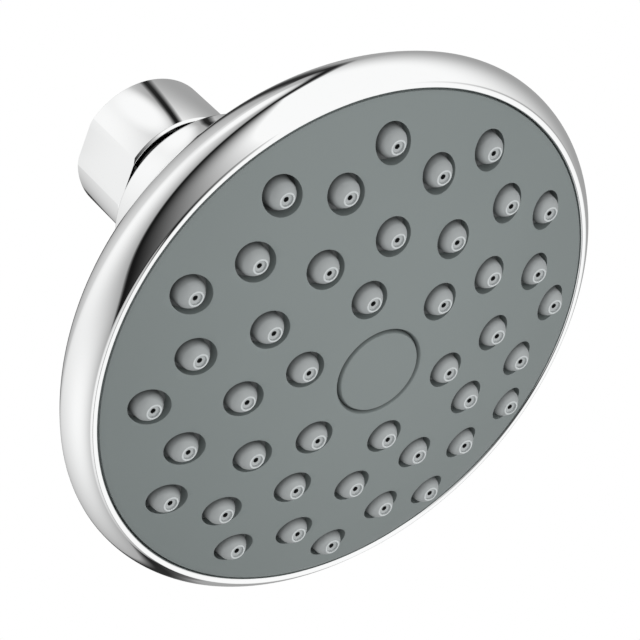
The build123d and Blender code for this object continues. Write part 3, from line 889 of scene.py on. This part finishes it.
class SHOWER_OT_screen(Operator):
    """Domed strainer of woven wire with a flat brim"""
    bl_idname = "shower.screen"
    bl_label = "Inlet strainer"

    def execute(self, context):
        low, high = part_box("inlet_screen")
        radius, brim, sheet = high.x, SCREEN_DOME, SCREEN_SHEET
        rise = high.z - low.z - sheet
        sphere = (brim**2 + rise**2) / (2 * rise)
        middle = low.z + rise - sphere + sheet / 2
        mesh = bmesh.new()
        bmesh.ops.create_grid(mesh, x_segments=22, y_segments=22, size=brim)
        far = [vert for vert in mesh.verts if vert.co.xy.length > brim]
        bmesh.ops.delete(mesh, geom=far, context="VERTS")
        for vert in mesh.verts:
            vert.co.z = middle + sqrt(sphere**2 - vert.co.xy.length_squared)
        bmesh.ops.wireframe(mesh, faces=mesh.faces, thickness=SCREEN_WIRE, use_boundary=True,
                            use_even_offset=True, use_replace=True)
        weave = solid("strainer_weave", mesh)
        inside = brim - SCREEN_LAP
        outline = Outline(inside, low.z)
        outline.line((radius, low.z), (radius, low.z + sheet), (inside, low.z + sheet))
        outline.close()
        mesh = outline.turn(72)
        soften(mesh, 0.06 * MM, 40)
        dress(solid("strainer_brim", mesh), steel(), "connector", "steel", "inlet_screen")
        dress(weave, steel(), "connector", "steel", "inlet_screen")
        return {"FINISHED"}


class SHOWER_OT_inner_pieces(Operator):
    """Finishes of the seals and the white pieces, whose solids stay"""
    bl_idname = "shower.inner_pieces"
    bl_label = "Seals and inner pieces"

    def execute(self, context):
        finishes = {
            rubber(): ("inlet_washer", "restrictor_o_ring", "shank_o_ring", "ball_seal",
                       "spigot_o_ring", "screw_seal"),
            white_plastic(): ("flow_restrictor", "swivel_ring", "socket_gland", "waterway"),
            steel(): ("centre_screw",),
        }
        for material, names in finishes.items():
            for name in names:
                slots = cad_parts[name].data.materials
                slots.clear()
                slots.append(material)
        return {"FINISHED"}


# Lamps and floor: the key lamp's direction is in the camera's axes, the top lamp's in the part's
KEY_DIRECTION = Vector((0.56, -0.4, 0.73))
KEY_DISTANCE = 0.6
KEY_WIDTH = 0.9
TOP_DIRECTION = Vector((0.25, -0.35, 0.9))
TOP_DISTANCE = 0.9
TOP_WIDTH = 0.6
FLOOR_REACH = 12.0
FLOOR_GLOW = 0.62

# Studio that the chrome shows: directions of a wide softbox, its upper side and three soft patches
SOFTBOX = Vector((0.8, -0.43, -0.43))
SOFTBOX_TOP = Vector((-0.03, -0.73, 0.68))
SOFTBOX_SIDE = SOFTBOX.cross(SOFTBOX_TOP)
GREY_CARD = Vector((0.67, 0.38, 0.64))
UPPER_GLOW = Vector((-0.26, -0.62, 0.74))
LOWER_GLOW = Vector((0.62, 0.42, -0.67))
CARD_REACH = 98
UPPER_REACH = 20
LOWER_REACH = 32

# Tones of the studio as a screen shows them, from 0 to 1
DARK_SURROUND = 0.12
WALL_TONE = 0.64
CARD_TONE = 0.27
CARD_SHARE = 0.5
SCREEN_GAMMA = 2.2

# Shape of the softbox: its edge and bends, the width of the fall to the dark, and the wall's rise
BOX_EDGE = 0.63
BOX_BEND_UP = 0.68
BOX_BEND_SIDE = 0.24
BOX_TWIST = 0.09
BOX_SKEW = 0.21
BOX_FOOT = 0.07
FALL_MIDDLE = 0.28
FALL_UP = 0.52
FALL_SIDE = 0.59
FALL_LEAST = 0.08
WALL_RISE = 0.43
EDGE_BLUR = 0.06


class SHOWER_OT_stage(Operator):
    """Camera, floor, lamps and the pale studio round the object"""
    bl_idname = "shower.stage"
    bl_label = "Stage"

    def execute(self, context):
        studio = context.scene.shower_head.studio
        scene = context.scene
        scene.view_settings.view_transform = "Standard"
        placed = self.camera(scene, studio)
        key_side = placed.to_3x3() @ KEY_DIRECTION
        self.lamp("key_lamp", studio, key_side, KEY_DISTANCE, KEY_WIDTH, studio.key)
        self.lamp("top_lamp", studio, TOP_DIRECTION, TOP_DISTANCE, TOP_WIDTH, studio.top)
        self.floor(studio)
        self.world(scene, studio)
        return {"FINISHED"}

    @staticmethod
    def camera(scene, studio):
        """Camera at the photograph's angle, and its placing."""
        data = bpy.data.cameras.new("camera")
        data.lens = studio.lens
        data.sensor_width = 36.0
        data.clip_start = 0.01
        item = bpy.data.objects.new("camera", data)
        scene.collection.objects.link(item)
        level = cos(studio.elevation)
        back = Vector((sin(studio.azimuth) * level, -cos(studio.azimuth) * level,
                       sin(studio.elevation)))
        level_right = (-back).cross(Vector((0, 0, 1))).normalized()
        level_up = back.cross(level_right)
        up = level_up * cos(studio.roll) + level_right * sin(studio.roll)
        placed = Matrix((up.cross(back), up, back)).transposed().to_4x4()
        placed.translation = Vector(studio.aim) + back * studio.distance
        item.matrix_world = placed
        scene.camera = item
        return placed

    @staticmethod
    def lamp(name, studio, direction, distance, size, level):
        """Soft square lamp turned to the object, at about the level a white face would show."""
        data = bpy.data.lights.new(name, "AREA")
        data.size = size
        data.energy = level * (pi * distance)**2
        item = bpy.data.objects.new(name, data)
        bpy.context.scene.collection.objects.link(item)
        towards = direction.normalized()
        item.matrix_world = Matrix.Translation(Vector(studio.aim) + towards * distance) @ (
            towards.to_track_quat("Z", "Y").to_matrix().to_4x4())
        item.visible_glossy = False
        item.visible_camera = False

    @staticmethod
    def floor(studio):
        """Wide pale floor, far enough down to leave room for the key lamp."""
        mesh = bmesh.new()
        bmesh.ops.create_grid(mesh, x_segments=1, y_segments=1, size=FLOOR_REACH)
        bmesh.ops.translate(mesh, verts=mesh.verts, vec=(0, 0, studio.floor))
        item = solid("floor", mesh)
        material = bpy.data.materials.new("pale_floor")
        graph = Graph(material)
        shader = graph.out("ShaderNodeBsdfPrincipled", 0, {
            "Base Color": (0.9, 0.9, 0.9, 1.0), "Roughness": 1.0,
            "Emission Color": (1.0, 1.0, 1.0, 1.0), "Emission Strength": FLOOR_GLOW,
        })
        graph.add("ShaderNodeOutputMaterial", {"Surface": shader})
        item.data.materials.append(material)
        item.visible_glossy = False
        item.visible_diffuse = False

    @staticmethod
    def world(scene, studio):
        """White to the camera, even light on the object, and soft panels for the chrome to show."""
        world = bpy.data.worlds.new("studio")
        scene.world = world
        graph = Graph(world)
        towards = graph.out("ShaderNodeTexCoord", "Generated")

        def along(axis):
            return graph.out("ShaderNodeVectorMath", "Value", {0: towards, 1: axis},
                             operation="DOT_PRODUCT")

        def patch(axis, reach):
            """Share of a soft round patch about a direction, out to an angle in degrees."""
            return graph.out("ShaderNodeMapRange", 0, {
                "Value": along(axis), "From Min": cos(radians(reach)),
                "From Max": cos(radians(reach / 3)),
            }, interpolation_type="SMOOTHSTEP")
        up, side = along(SOFTBOX_TOP), along(SOFTBOX_SIDE)
        depth = (along(SOFTBOX) + BOX_EDGE - BOX_BEND_UP * up * up - BOX_BEND_SIDE * side * side
                 + BOX_TWIST * up * side + BOX_SKEW * side * side * side)
        fall = (FALL_MIDDLE - FALL_UP * up + FALL_SIDE * side).at_least(FALL_LEAST)
        box = DARK_SURROUND + (1 - DARK_SURROUND) * ((depth - BOX_FOOT) / fall).limited()
        box = box.towards(CARD_TONE, CARD_SHARE * patch(GREY_CARD, CARD_REACH))
        wall = WALL_TONE + (1 - WALL_TONE) * (depth / -WALL_RISE).limited()
        shown = wall.towards(box, (0.5 + depth / EDGE_BLUR).limited())
        shown = shown.towards(1.0, patch(UPPER_GLOW, UPPER_REACH))
        shown = shown.towards(1.0, patch(LOWER_GLOW, LOWER_REACH))
        panels = shown.limited().raised(SCREEN_GAMMA)
        rays = graph.add("ShaderNodeLightPath")
        glossy = Wire(graph, rays.outputs["Is Glossy Ray"])
        camera = Wire(graph, rays.outputs["Is Camera Ray"])
        even = (studio.ambient,) * 3
        seen = graph.blend(glossy, even, panels)
        tone = graph.blend(camera, seen, (1.0, 1.0, 1.0))
        light = graph.out("ShaderNodeBackground", 0, {"Color": tone, "Strength": 1.0})
        graph.add("ShaderNodeOutputWorld", {"Surface": light})


PIECES = (
    SHOWER_OT_shell, SHOWER_OT_plate, SHOWER_OT_cap, SHOWER_OT_nozzles, SHOWER_OT_connector,
    SHOWER_OT_thread, SHOWER_OT_ball, SHOWER_OT_screen, SHOWER_OT_inner_pieces, SHOWER_OT_stage,
)


class SHOWER_PT_pieces(Panel):
    """Buttons for every piece and the settings that they use"""
    bl_idname = "SHOWER_PT_pieces"
    bl_label = "Shower head"
    bl_space_type = "VIEW_3D"
    bl_region_type = "UI"
    bl_category = "Shower head"

    def draw(self, context):
        settings = context.scene.shower_head
        for group in (settings.connector, settings.shell, settings.plate, settings.colours,
                      settings.studio):
            box = self.layout.box()
            for name in group.__annotations__:
                box.prop(group, name)
        for piece in PIECES:
            self.layout.operator(piece.bl_idname)


CLASSES = (
    ConnectorSizes, ShellSizes, PlateSizes, FinishColours, StudioSettings, ShowerSettings,
    *PIECES, SHOWER_PT_pieces,
)


def register():
    for item in CLASSES:
        bpy.utils.register_class(item)
    bpy.types.Scene.shower_head = PointerProperty(type=ShowerSettings)


def unregister():
    del bpy.types.Scene.shower_head
    for item in reversed(CLASSES):
        bpy.utils.unregister_class(item)


def main():
    register()
    bpy.ops.shower.shell()
    bpy.ops.shower.plate()
    bpy.ops.shower.cap()
    bpy.ops.shower.nozzles()
    bpy.ops.shower.connector()
    bpy.ops.shower.thread()
    bpy.ops.shower.ball()
    bpy.ops.shower.screen()
    bpy.ops.shower.inner_pieces()
    bpy.ops.shower.stage()


if __name__ == "__main__":
    main()
